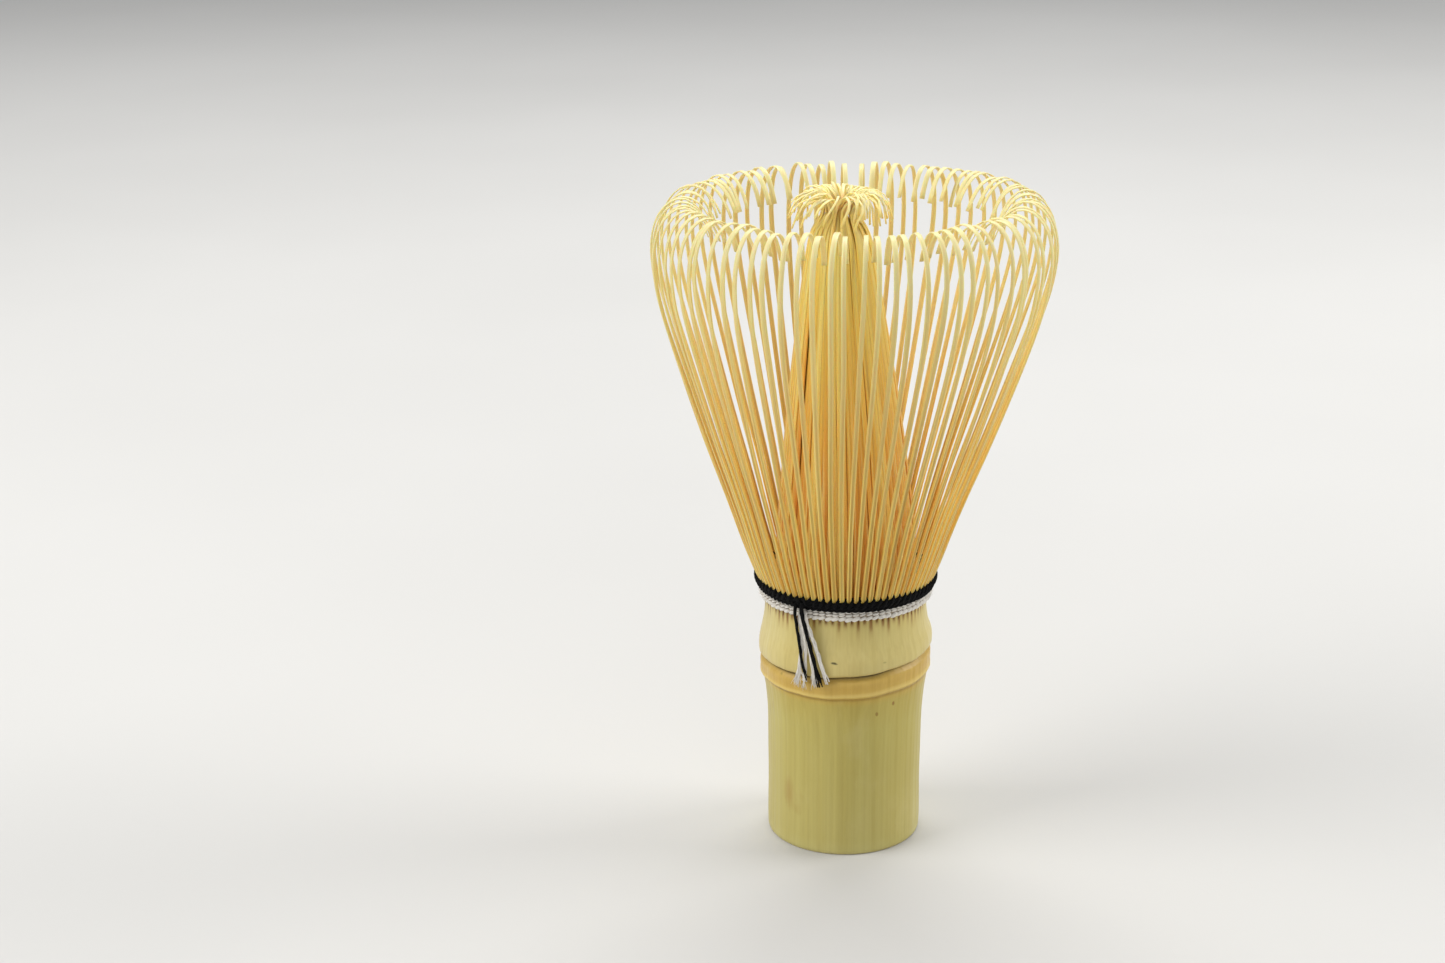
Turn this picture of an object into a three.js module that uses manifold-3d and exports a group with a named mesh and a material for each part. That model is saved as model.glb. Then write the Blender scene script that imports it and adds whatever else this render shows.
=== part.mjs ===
// Bamboo tea whisk (chasen), millimetres, +Z up, standing on its foot with the origin at the foot's centre.
// One culm of bamboo is split above its node into sixteen staves. Each stave is split again into five outer
// and five inner tines. The outer tines lean out and curl in at their tips, the inner ones lean in to a bundle
// whose tips fall open. Black and white thread is laced round the roots, and its six ends hang down in front.
import * as THREE from "three";
import { mergeVertices } from "three/addons/utils/BufferGeometryUtils.js";
import Module from "manifold-3d";

// Driving dimensions, mm
const STAVES = 16;
const TINES_PER_STAVE = 5;
const PITCH = (2 * Math.PI) / (STAVES * TINES_PER_STAVE);
const FOOT_R = 12.9; // outer radius of the cut foot
const BORE_R = 9.9; // the culm's own hollow below the node
const UPPER_BORE_R = 10.6; // the thinned wall above the node
const DIAPHRAGM_Z = [29.4, 32.0]; // the node's inner wall
const GRIP_TOP_Z = 42.2; // where the slits start
const FLEX_Z = 45.0; // height at which the tines bend out of the lacing
const OUTER_ROOT_R = [12.6, 13.45]; // outer tines' root ring
const INNER_ROOT_R = [10.9, 11.9]; // inner tines' root ring
const OUTER_ROOT_Z = [42.7, 45.0];
const INNER_ROOT_Z = [43.4, 45.4];
const STAVE_GAP = 0.3; // between the root blocks of neighbouring staves
const OUTER_TINE_W = 0.78;
const OUTER_TIP_W = 0.46;
const INNER_TINE_W = 0.56;
const TAIL_D = 0.5;
const SIDES = 36;

const BAMBOO = { color: 0xd9cd80, roughness: 0.42, metalness: 0 };
const TINE = { color: 0xe6cf7c, roughness: 0.5, metalness: 0 };
const INNER_TINE = { color: 0xe2bf62, roughness: 0.5, metalness: 0 };
const BLACK_THREAD = { color: 0x0e0f12, roughness: 0.85, metalness: 0 };
const WHITE_THREAD = { color: 0xe6e0da, roughness: 0.85, metalness: 0 };

const wasm = await Module();
wasm.setup();

function toSolid(geometry) {
  const g = geometry.clone();
  for (const name of Object.keys(g.attributes)) if (name !== "position") g.deleteAttribute(name);
  const merged = mergeVertices(g, 1e-4);
  let triVerts = new Uint32Array(merged.index.array);
  const vertProperties = new Float32Array(merged.attributes.position.array);
  let made = new wasm.Manifold(new wasm.Mesh({ numProp: 3, vertProperties, triVerts }));
  if (made.volume() < 0) {
    for (let i = 0; i < triVerts.length; i += 3) [triVerts[i + 1], triVerts[i + 2]] = [triVerts[i + 2], triVerts[i + 1]];
    made = new wasm.Manifold(new wasm.Mesh({ numProp: 3, vertProperties, triVerts }));
  }
  return made;
}

function toGeometry(solid) {
  const m = solid.getMesh();
  const n = m.numProp;
  const v = new Float32Array(m.numVert * 3);
  for (let i = 0; i < m.numVert; i++) v.set(m.vertProperties.subarray(i * n, i * n + 3), i * 3);
  const g = new THREE.BufferGeometry();
  g.setAttribute("position", new THREE.BufferAttribute(v, 3));
  g.setIndex(new THREE.BufferAttribute(new Uint32Array(m.triVerts), 1));
  g.computeVertexNormals();
  return g;
}

function mesh(name, geometry, look) {
  const m = new THREE.Mesh(geometry, new THREE.MeshStandardMaterial(look));
  m.name = name;
  return m;
}

// A ring turned round Z from a closed profile of [radius, height] points, listed up the outside and down the inside.
function turned(profile, sides = SIDES) {
  const g = new THREE.LatheGeometry(profile.map(([r, z]) => new THREE.Vector2(r, z)), sides);
  g.rotateX(Math.PI / 2);
  return toGeometry(toSolid(g));
}

// The outline of a bent strip: a centre line of [radius, height, thickness] stations, offset to both sides.
function stripShape(line) {
  const left = [];
  const right = [];
  line.forEach(([r, z, t], i) => {
    const a = line[Math.max(i - 1, 0)];
    const b = line[Math.min(i + 1, line.length - 1)];
    const l = Math.hypot(b[0] - a[0], b[1] - a[1]);
    const nx = (b[1] - a[1]) / l;
    const nz = -(b[0] - a[0]) / l;
    left.push(new THREE.Vector2(r + (nx * t) / 2, z + (nz * t) / 2));
    right.unshift(new THREE.Vector2(r - (nx * t) / 2, z - (nz * t) / 2));
  });
  return new THREE.Shape([...left, ...right]);
}

// One tine at azimuth angle: the strip's outline extruded across its width, which changes along the tine.
function tine(line, width, angle) {
  const g = new THREE.ExtrudeGeometry(stripShape(line), { depth: 1, bevelEnabled: false });
  g.translate(0, 0, -0.5);
  const p = g.attributes.position;
  for (let i = 0; i < p.count; i++) p.setZ(i, p.getZ(i) * width(p.getX(i), p.getY(i)));
  g.rotateX(Math.PI / 2);
  g.rotateZ(angle);
  return toSolid(g);
}

// The block of stave k between two radii, with a gap to its neighbours.
function rootBlock(k, [r0, r1], [z0, z1]) {
  const span = (2 * Math.PI) / STAVES;
  const steps = 2;
  const pts = [];
  for (let i = 0; i <= steps; i++) {
    const half = span / 2 - STAVE_GAP / 2 / r1;
    const a = -half + (2 * half * i) / steps;
    pts.push(new THREE.Vector2(r1 * Math.cos(a), r1 * Math.sin(a)));
  }
  for (let i = steps; i >= 0; i--) {
    const half = span / 2 - STAVE_GAP / 2 / r0;
    const a = -half + (2 * half * i) / steps;
    pts.push(new THREE.Vector2(r0 * Math.cos(a), r0 * Math.sin(a)));
  }
  const g = new THREE.ExtrudeGeometry(new THREE.Shape(pts), { depth: z1 - z0, bevelEnabled: false });
  g.translate(0, 0, z0);
  g.rotateZ(staveAngle(k));
  return toSolid(g);
}

const staveAngle = (k) => ((k + 0.5) * 2 * Math.PI) / STAVES;
const tineAngle = (k, i) => staveAngle(k) + (i - (TINES_PER_STAVE - 1) / 2) * PITCH;

// Centre line of an outer tine: radius, height, thickness
const OUTER_LINE = [
  [13.02, 42.8, 0.66],
  [13.65, 44.7, 0.6],
  [14.55, 46.5, 0.57],
  [15.3, 48.2, 0.56],
  [16.85, 52.2, 0.54],
  [26.65, 80.2, 0.46],
  [30.2, 91.0, 0.42],
  [31.7, 97.6, 0.39],
  [32.1, 101.6, 0.36],
  [31.3, 105.6, 0.34],
  [29.2, 108.5, 0.32],
  [26.8, 109.3, 0.3],
  [24.5, 107.9, 0.3],
  [22.7, 104.8, 0.3],
];

// Centre line of an inner tine, which leans in to the waist of the bundle and falls open above it
const INNER_LINE = [
  [11.4, 43.6, 0.5],
  [11.2, 53.0, 0.48],
  [9.3, 72.0, 0.42],
  [5.4, 101.0, 0.34],
  [3.2, 107.0, 0.28],
  [3.7, 109.6, 0.26],
  [5.7, 111.0, 0.26],
  [8.4, 108.1, 0.26],
];

// Tines narrow towards their tips, and the inner ones stay inside their share of the bundle
const outerWidth = (r, z) => {
  if (z < 94) return OUTER_TINE_W;
  if (z < 102 || r > 31) return OUTER_TINE_W - 0.008 * Math.max(0, z - 94);
  return OUTER_TIP_W + (0.68 - OUTER_TIP_W) * Math.min(1, Math.max(0, (r - 22.7) / 8.3));
};
const innerWidth = (r) => Math.min(INNER_TINE_W, 0.84 * r * PITCH);

const whisk = new THREE.Group();

// The grip: the culm from its cut foot, through the node, to the start of the slits
whisk.add(
  mesh(
    "bamboo_grip",
    turned([
      [0, DIAPHRAGM_Z[0]],
      [7.0, DIAPHRAGM_Z[0]],
      [BORE_R, DIAPHRAGM_Z[0] - 1.6],
      [BORE_R, 0.4],
      [BORE_R + 0.3, 0],
      [FOOT_R - 0.35, 0],
      [FOOT_R, 0.4],
      [12.85, 8],
      [12.87, 16],
      [13.15, 23.5],
      [13.5, 27.6],
      [13.6, 28.85],
      [14.0, 29.1],
      [14.12, 29.6],
      [14.28, 30.8],
      [14.25, 31.9],
      [13.95, 32.6],
      [14.4, 33.2],
      [14.47, 34.4],
      [14.3, 35.6],
      [13.75, 37.3],
      [13.4, 39.2],
      [13.4, GRIP_TOP_Z],
      [UPPER_BORE_R, GRIP_TOP_Z],
      [UPPER_BORE_R, DIAPHRAGM_Z[1] + 1.6],
      [8.0, DIAPHRAGM_Z[1]],
      [0, DIAPHRAGM_Z[1]],
    ]),
    BAMBOO,
  ),
);

// The staves: five outer tines on one root block, and five inner tines on another
for (let k = 0; k < STAVES; k++) {
  const n = String(k + 1).padStart(2, "0");
  let outer = rootBlock(k, OUTER_ROOT_R, OUTER_ROOT_Z);
  let inner = rootBlock(k, INNER_ROOT_R, INNER_ROOT_Z);
  for (let i = 0; i < TINES_PER_STAVE; i++) {
    outer = outer.add(tine(OUTER_LINE, outerWidth, tineAngle(k, i)));
    inner = inner.add(tine(INNER_LINE, innerWidth, tineAngle(k, i)));
  }
  whisk.add(mesh(`outer_tines_${n}`, toGeometry(outer), TINE));
  whisk.add(mesh(`inner_tines_${n}`, toGeometry(inner), INNER_TINE));
}

// The lacing: a black band over the flex line, and two white courses under it
whisk.add(
  mesh(
    "black_lacing",
    turned([
      [14.15, 44.4],
      [14.75, 44.4],
      [15.1, 44.8],
      [15.25, 45.8],
      [15.15, 46.2],
      [15.0, 46.2],
      [14.15, 44.4],
    ]),
    BLACK_THREAD,
  ),
  mesh(
    "white_lacing",
    turned([
      [13.9, 42.5],
      [14.4, 42.5],
      [14.62, 42.9],
      [14.42, 43.3],
      [14.62, 43.7],
      [14.4, 44.1],
      [13.9, 44.1],
      [13.9, 42.5],
    ]),
    WHITE_THREAD,
  ),
);

// The thread ends: each hangs from the lacing, lies over the swelling above the node and stops at the node.
// Each has its own azimuth at the top, over the swelling and at its end, in degrees from the front.
const TAIL_LINE = [
  [15.8, 45.3],
  [15.4, 43.4],
  [15.0, 41.0],
  [14.95, 38.0],
  [15.1, 34.6],
  [15.0, 31.5],
];
const TAILS = [
  ["white_thread_end_1", -33.0, -32.4, -31.0, WHITE_THREAD],
  ["white_thread_end_2", -30.4, -29.2, -27.0, WHITE_THREAD],
  ["black_thread_end_1", -27.8, -26.0, -23.2, BLACK_THREAD],
  ["white_thread_end_3", -25.2, -22.8, -18.8, WHITE_THREAD],
  ["black_thread_end_2", -22.6, -19.4, -14.4, BLACK_THREAD],
  ["white_thread_end_4", -20.0, -16.0, -10.0, WHITE_THREAD],
];
for (const [name, top, middle, end, look] of TAILS) {
  const bend = (t) => (t < 0.5 ? top + (middle - top) * 2 * t : middle + (end - middle) * (2 * t - 1));
  const path = new THREE.CatmullRomCurve3(
    TAIL_LINE.map(([r, z], i) => {
      const a = THREE.MathUtils.degToRad(bend(i / (TAIL_LINE.length - 1)) - 90);
      return new THREE.Vector3(r * Math.cos(a), r * Math.sin(a), z);
    }),
  );
  const section = new THREE.Shape();
  for (let i = 0; i < 6; i++) {
    const a = (i * Math.PI) / 3;
    const p = [(TAIL_D / 2) * Math.cos(a), (TAIL_D / 2) * Math.sin(a)];
    if (i === 0) section.moveTo(...p);
    else section.lineTo(...p);
  }
  section.closePath();
  const g = new THREE.ExtrudeGeometry(section, { steps: 6, bevelEnabled: false, extrudePath: path });
  whisk.add(mesh(name, toGeometry(toSolid(g)), look));
}

export default whisk;
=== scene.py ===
# Looks of the bamboo tea whisk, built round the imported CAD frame. Metres, +Z up, standing on its foot.
import math

import bpy
import numpy as np
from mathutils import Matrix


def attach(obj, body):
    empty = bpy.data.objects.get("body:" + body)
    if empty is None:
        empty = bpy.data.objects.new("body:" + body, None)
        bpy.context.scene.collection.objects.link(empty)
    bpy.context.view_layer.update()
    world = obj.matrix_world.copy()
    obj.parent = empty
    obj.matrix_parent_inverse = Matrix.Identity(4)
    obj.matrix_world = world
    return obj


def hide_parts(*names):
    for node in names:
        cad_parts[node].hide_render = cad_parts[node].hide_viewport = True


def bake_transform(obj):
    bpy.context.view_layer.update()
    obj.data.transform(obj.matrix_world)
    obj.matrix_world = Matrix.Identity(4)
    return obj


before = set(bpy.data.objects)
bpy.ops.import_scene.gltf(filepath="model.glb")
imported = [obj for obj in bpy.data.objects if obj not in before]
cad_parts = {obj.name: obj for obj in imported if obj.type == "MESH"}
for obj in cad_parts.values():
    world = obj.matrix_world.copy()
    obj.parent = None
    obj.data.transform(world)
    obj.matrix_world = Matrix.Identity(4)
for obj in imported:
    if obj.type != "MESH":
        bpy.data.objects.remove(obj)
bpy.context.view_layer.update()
MM = 0.001
RNG = np.random.default_rng(20457)

STAVES, PER = 16, 5
TINES = STAVES * PER
PITCH = 2 * math.pi / TINES
TAU = 2 * math.pi


# ---------------------------------------------------------------- helpers

def lin(text):
    """Display colour RRGGBB as linear RGBA."""
    c = [int(text[i:i + 2], 16) / 255 for i in (0, 2, 4)]
    return tuple(x / 12.92 if x <= 0.04045 else ((x + 0.055) / 1.055) ** 2.4 for x in c) + (1.0,)


def smooth(x, a, b):
    t = np.clip((np.asarray(x, float) - a) / (b - a), 0, 1)
    return t * t * (3 - 2 * t)


def spline(points, n):
    """Catmull-Rom through points, resampled to n stations evenly along its length. Returns stations and the share of the length at each."""
    p = np.asarray(points, float)
    ext = np.vstack([2 * p[0] - p[1], p, 2 * p[-1] - p[-2]])
    out = []
    t = np.linspace(0, 1, 24, endpoint=False)[:, None]
    for i in range(len(p) - 1):
        a, b, c, d = ext[i:i + 4]
        out.append(0.5 * (2 * b + (c - a) * t + (2 * a - 5 * b + 4 * c - d) * t**2 + (3 * b - a - 3 * c + d) * t**3))
    out = np.vstack(out + [p[-1:]])
    s = np.concatenate([[0], np.cumsum(np.linalg.norm(np.diff(out, axis=0), axis=1))])
    want = np.linspace(0, s[-1], n)
    return np.stack([np.interp(want, s, out[:, k]) for k in range(p.shape[1])], axis=1), want


def unit(v):
    return v / np.maximum(np.linalg.norm(v, axis=-1, keepdims=True), 1e-12)


class Builder:
    """Collects vertices in mm, faces and per-vertex attributes, and makes one object."""

    def __init__(self):
        self.v, self.f, self.n, self.attr = [], [], 0, {}

    def add(self, v, f, **attr):
        self.v.append(np.asarray(v, float))
        self.f.extend([tuple(int(i) + self.n for i in face) for face in f])
        for k, a in attr.items():
            a = np.asarray(a, float)
            if a.ndim == 0:
                a = np.full(len(v), float(a))
            self.attr.setdefault(k, []).append(a)
        self.n += len(v)

    def make(self, name, material, angle=None):
        v = np.vstack(self.v) * MM
        me = bpy.data.meshes.new(name)
        me.from_pydata(v.tolist(), [], self.f)
        me.update()
        for k, parts in self.attr.items():
            a = np.concatenate(parts)
            kind = "FLOAT" if a.ndim == 1 else "FLOAT_VECTOR"
            me.attributes.new(k, kind, "POINT").data.foreach_set("value" if a.ndim == 1 else "vector", a.astype(np.float32).ravel())
        me.polygons.foreach_set("use_smooth", [True] * len(me.polygons))
        if angle is not None:
            me.set_sharp_from_angle(angle=math.radians(angle))
        me.materials.append(material)
        o = bpy.data.objects.new(name, me)
        bpy.context.scene.collection.objects.link(o)
        return o


def grid_faces(rows, cols, closed_cols=True, closed_rows=False):
    f = []
    for i in range(rows if closed_rows else rows - 1):
        for j in range(cols if closed_cols else cols - 1):
            a, b = i * cols + j, i * cols + (j + 1) % cols
            c, d = ((i + 1) % rows) * cols + (j + 1) % cols, ((i + 1) % rows) * cols + j
            f.append((a, b, c, d))
    return f


def strip(b, path, width, thick, side, along, tid, acr=0.0, core=None):
    """A flat strip with softened edges swept along path. width, thick: per station, side: the direction across the strip at each station."""
    n = len(path)
    t = unit(np.gradient(path, axis=0))
    s = unit(side - t * np.sum(side * t, axis=1, keepdims=True))
    o = np.cross(s, t)
    c = np.minimum(width, thick) * 0.27
    w, h = width / 2, thick / 2
    ring = [(w, -h + c), (w, h - c), (w - c, h), (0 * w, h * 1.06), (-w + c, h), (-w, h - c), (-w, -h + c), (-w + c, -h), (0 * w, -h), (w - c, -h)]
    k = len(ring)
    v = np.zeros((n, k, 3))
    fib = np.zeros((n, k, 3))
    wall = np.zeros((n, k))
    for i, (x, y) in enumerate(ring):
        v[:, i] = path + s * x[:, None] + o * y[:, None]
        fib[:, i, 0] = x + 7.3 * tid + acr
        fib[:, i, 1] = y + 3.1 * tid
        fib[:, i, 2] = along
        wall[:, i] = 1.0 if i in (0, 1, 5, 6) else (0.35 if i in (2, 4, 7, 9) else 0.0)
    faces = [tuple(reversed(f)) for f in grid_faces(n, k)]
    faces.append(tuple(range(k)))
    faces.append(tuple(reversed(range((n - 1) * k, n * k))))
    inner = np.zeros((n, k))
    inner[:, 7:] = 1.0
    inner[:, 6] = 0.5
    inner[:, 0] = 0.5
    b.add(v.reshape(-1, 3), faces, fib=fib.reshape(-1, 3), wall=wall.ravel(), inner=inner.ravel(), tid=tid, core=np.repeat(np.zeros(n) if core is None else core, k),
          zz=np.repeat(path[:, 2], k), along=np.repeat(along / max(along[-1], 1e-6), k))


def tube(b, path, radius, sides=8, closed=False, tid=0.0, twist=0.0, squash=1.0, face=None):
    """A round strand along path. fib carries (turn, -, length along) for the twist of its fibres."""
    path = np.asarray(path, float)
    n = len(path)
    if closed:
        t = unit(np.roll(path, -1, axis=0) - np.roll(path, 1, axis=0))
    else:
        t = unit(np.gradient(path, axis=0))
    up = np.tile(np.array([0.0, 0.0, 1.0]), (n, 1))
    near = np.abs(t[:, 2]) > 0.9
    rad = path.copy(); rad[:, 2] = 0; rad = unit(rad)
    # the radial direction from the whisk's axis never lines up with any strand for long
    s = rad - t * np.sum(rad * t, axis=1, keepdims=True)
    bad = np.linalg.norm(s, axis=1) < 0.15
    s[bad] = up[bad] - t[bad] * np.sum(up[bad] * t[bad], axis=1, keepdims=True)
    s = unit(s)
    o = np.cross(t, s)
    r = np.broadcast_to(np.asarray(radius, float), (n,))
    a = np.arange(sides) * TAU / sides
    v = path[:, None] + r[:, None, None] * (np.cos(a)[None, :, None] * s[:, None] * squash + np.sin(a)[None, :, None] * o[:, None])
    d = np.concatenate([[0], np.cumsum(np.linalg.norm(np.diff(path, axis=0), axis=1))])
    faces = grid_faces(n, sides, True, closed)
    if not closed:
        faces.append(tuple(reversed(range(sides))))
        faces.append(tuple(range((n - 1) * sides, n * sides)))
    fib = np.zeros((n, sides, 3))
    fib[:, :, 0] = a[None, :] / TAU + d[:, None] * twist
    fib[:, :, 1] = tid * 5.7
    fib[:, :, 2] = d[:, None]
    deep = np.zeros(n * sides)
    if face is not None:      # how far each point lies behind the face of the lacing; the thread material darkens these points as painted shade
        deep = np.clip((face - np.hypot(v[..., 0], v[..., 1])) / 0.42, 0, 1).ravel()
    b.add(v.reshape(-1, 3), faces, fib=fib.reshape(-1, 3), tid=tid, deep=deep)


# ---------------------------------------------------------------- materials

class Mat:
    def __init__(self, name):
        self.m = bpy.data.materials.new(name)
        self.m.use_nodes = True
        self.t = self.m.node_tree
        self.t.nodes.clear()
        self.out = self.n("OutputMaterial")
        self.b = self.n("BsdfPrincipled")
        self.l(self.b.outputs[0], self.out.inputs[0])

    def n(self, kind, **kw):
        node = self.t.nodes.new("ShaderNode" + kind)
        for k, v in kw.items():
            setattr(node, k, v)
        return node

    def l(self, a, b):
        self.t.links.new(a, b)

    def put(self, socket, value):
        if isinstance(value, bpy.types.NodeSocket):
            self.l(value, socket)
        else:
            socket.default_value = value

    def obj(self):
        return self.n("TexCoord").outputs["Object"]

    def attr(self, name, vector=False):
        return self.n("Attribute", attribute_name=name).outputs["Vector" if vector else "Fac"]

    def scaled(self, vec, x, y, z):
        m = self.n("VectorMath", operation="MULTIPLY")
        self.l(vec, m.inputs[0])
        m.inputs[1].default_value = (x, y, z)
        return m.outputs[0]

    def xyz(self, vec):
        s = self.n("SeparateXYZ")
        self.l(vec, s.inputs[0])
        return s.outputs

    def noise(self, vec, scale=1.0, detail=4.0, rough=0.55, distortion=0.0):
        n = self.n("TexNoise")
        self.l(vec, n.inputs["Vector"])
        n.inputs["Scale"].default_value = scale
        n.inputs["Detail"].default_value = detail
        n.inputs["Roughness"].default_value = rough
        n.inputs["Distortion"].default_value = distortion
        return n.outputs["Fac"]

    def math(self, op, a, b=None, c=None, clamp=False):
        m = self.n("Math", operation=op, use_clamp=clamp)
        for i, x in enumerate((a, b, c)):
            if x is not None:
                self.put(m.inputs[i], x)
        return m.outputs[0]

    def span(self, value, a, b, lo=0.0, hi=1.0, kind="SMOOTHSTEP"):
        m = self.n("MapRange", interpolation_type=kind)
        self.put(m.inputs["Value"], value)
        for k, x in (("From Min", a), ("From Max", b), ("To Min", lo), ("To Max", hi)):
            m.inputs[k].default_value = x
        return m.outputs[0]

    def ramp(self, fac, stops, ease="LINEAR"):
        r = self.n("ValToRGB")
        r.color_ramp.interpolation = ease
        e = r.color_ramp.elements
        while len(e) < len(stops):
            e.new(0.5)
        for k, (p, c) in zip(e, stops):
            k.position = p
        for k, (p, c) in zip(e, stops):
            k.position = p
            k.color = lin(c) if isinstance(c, str) else (c, c, c, 1)
        self.l(fac, r.inputs[0])
        return r.outputs[0]

    def mix(self, fac, a, b, blend="MIX"):
        m = self.n("Mix", data_type="RGBA", blend_type=blend)
        self.put(m.inputs[0], fac)
        self.put(m.inputs[6], lin(a) if isinstance(a, str) else a)
        self.put(m.inputs[7], lin(b) if isinstance(b, str) else b)
        return m.outputs[2]

    def bump(self, height, strength, distance, normal=None):
        n = self.n("Bump")
        n.inputs["Strength"].default_value = strength
        n.inputs["Distance"].default_value = distance
        self.l(height, n.inputs["Height"])
        if normal is not None:
            self.l(normal, n.inputs["Normal"])
        return n.outputs[0]

    def finish(self, colour, rough, normal=None, **fixed):
        self.put(self.b.inputs["Base Color"], colour)
        self.put(self.b.inputs["Roughness"], rough)
        if normal is not None:
            self.l(normal, self.b.inputs["Normal"])
        for k, v in fixed.items():
            self.b.inputs[k].default_value = v
        return self.m


def culm_material():
    m = Mat("bamboo_culm")
    p = m.obj()
    x, y, z = m.xyz(p)
    zmm = m.math("MULTIPLY", z, 1000.0)
    r = m.math("MULTIPLY", m.math("SQRT", m.math("ADD", m.math("MULTIPLY", x, x), m.math("MULTIPLY", y, y))), 1000.0)
    theta = m.math("ARCTAN2", y, x)
    # a height that wanders round the culm, so bands of colour don't follow a ruler
    wander = m.math("MULTIPLY_ADD", m.noise(m.scaled(p, 90, 90, 20), 1.0, 2.0), 2.4, -1.2)
    zw = m.math("ADD", m.attr("own_z"), m.math("MULTIPLY", wander, 0.35))
    base = m.ramp(m.math("DIVIDE", zw, 44.0), [
        (0.0, "D8CC8C"), (0.012, "CCC27C"), (0.06, "C6BA70"), (0.30, "C3B668"), (0.52, "C4B766"), (0.62, "C4B25C"), (0.652, "CDAE50"),
        (0.672, "D6B45A"), (0.70, "D2AE54"), (0.738, "D6B661"), (0.76, "D9C884"), (0.85, "DACA86"), (0.93, "D6C67F"), (1.0, "CFBB70")])
    streak = m.noise(m.scaled(p, 1900, 1900, 22), 1.0, 5.0, 0.6)
    broad = m.noise(m.scaled(p, 260, 260, 14), 1.0, 4.0, 0.55)
    blotch = m.noise(m.scaled(p, 120, 120, 70), 1.0, 5.0, 0.6)
    c = m.mix(m.span(broad, 0.32, 0.7, 0.0, 0.30), base, m.mix(1.0, base, "E6DAA6", "MULTIPLY"))
    c = m.mix(m.span(streak, 0.35, 0.72, 0.0, 0.17), c, m.mix(1.0, c, "C7B48A", "MULTIPLY"))
    c = m.mix(m.span(blotch, 0.52, 0.75, 0.0, 0.22), c, "DCD096")
    olive = m.noise(m.scaled(p, 60, 60, 12), 1.0, 2.0, 0.5)
    c = m.mix(m.span(olive, 0.42, 0.68, 0.0, 0.16), c, m.mix(1.0, c, "DDDDB0", "MULTIPLY"))
    smudge = m.noise(m.scaled(p, 150, 150, 110), 1.0, 3.0, 0.5)
    c = m.mix(m.span(smudge, 0.66, 0.76, 0.0, 0.28), c, "A8863A")
    # the dark line of the node's scar, partly its own stain and partly painted shadow under the collar's lip; under the
    # ring, a painted shadow band and a painted highlight on its rounded lower edge
    groove = m.attr("groove")
    c = m.mix(m.math("MULTIPLY", groove, 0.93), c, "2E2712")
    # painted shadow under the ring's rounded lower edge
    c = m.mix(m.math("MULTIPLY", m.attr("ridge"), 0.6), c, "8E6A22")
    # painted highlight along the ring's rounded lower edge
    c = m.mix(m.math("MULTIPLY", m.attr("lip"), 0.55), c, "ECD480")
    # dark brown marks along the splits, as long as each split is
    u = m.math("DIVIDE", theta, PITCH)
    cell = m.math("ROUND", u)
    d = m.math("MULTIPLY", m.math("ABSOLUTE", m.math("SUBTRACT", u, cell)), PITCH * 13.35)
    w = m.n("TexWhiteNoise", noise_dimensions="1D")
    m.l(cell, w.inputs["W"])
    long = m.math("MULTIPLY_ADD", w.outputs["Value"], 1.9, 1.0)
    depth = m.math("DIVIDE", m.math("SUBTRACT", 42.55, zmm), long)
    ragged = m.noise(m.scaled(p, 2600, 2600, 500), 1.0, 3.0, 0.6)
    reach = m.math("ADD", depth, m.math("MULTIPLY_ADD", ragged, 0.7, -0.35))
    fade = m.span(reach, 0.1, 1.15, 1.0, 0.0)
    near = m.span(m.math("ADD", d, m.math("MULTIPLY_ADD", ragged, 0.2, -0.1)), 0.07, 0.36, 1.0, 0.0)
    above = m.span(zmm, 38.5, 39.4)
    split_mark = m.math("MULTIPLY", m.math("MULTIPLY", fade, near), above)
    c = m.mix(m.math("MULTIPLY", split_mark, 0.88), c, "6A400C")
    # painted shadow: a wider, softer darkening round each split
    split_shadow_halo = m.math("MULTIPLY", m.math("MULTIPLY", m.span(reach, 0.2, 1.7, 1.0, 0.0), m.span(d, 0.1, 0.55, 1.0, 0.0)), above)
    c = m.mix(m.math("MULTIPLY", split_shadow_halo, 0.5), c, "9A641C")
    # dark specks and one smudge, each in its own place
    def mark(colour, weight, at, size, soft=0.45):
        away = m.n("VectorMath", operation="SUBTRACT")
        m.l(p, away.inputs[0])
        away.inputs[1].default_value = tuple(q * 0.001 for q in at)
        far = m.n("VectorMath", operation="LENGTH")
        m.l(m.scaled(away.outputs[0], *(1000.0 / q for q in size)), far.inputs[0])
        k = m.math("ADD", far.outputs["Value"], m.math("MULTIPLY_ADD", ragged, 0.7, -0.35))
        return m.mix(m.span(k, 1.0 - soft, 1.0 + soft, weight, 0.0), c, colour)

    c = mark("3A3418", 0.85, (-1.85, -14.1, 35.3), (0.42, 0.8, 0.17))
    c = mark("4A4222", 0.6, (-1.5, -14.1, 35.2), (0.3, 0.8, 0.12))
    c = mark("8A5A16", 0.8, (7.9, -10.75, 26.9), (0.24, 0.5, 0.42))
    c = mark("8A6420", 0.7, (5.2, -12.15, 25.5), (0.24, 0.5, 0.34))
    c = mark("7A6A20", 0.6, (-10.6, -9.4, 31.5), (0.28, 0.4, 0.28))
    c = mark("8C8238", 0.5, (6.4, -12.7, 35.0), (0.3, 0.6, 0.15))
    c = mark("A8843A", 0.5, (-9.4, -9.0, 9.7), (0.8, 1.2, 2.2), 0.8)
    c = mark("B08E48", 0.35, (4.0, 12.4, 18.0), (1.0, 1.2, 2.6), 0.8)
    c = mark("6A5220", 0.6, (-5.5, 11.7, 22.5), (0.3, 0.5, 0.4))
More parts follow.
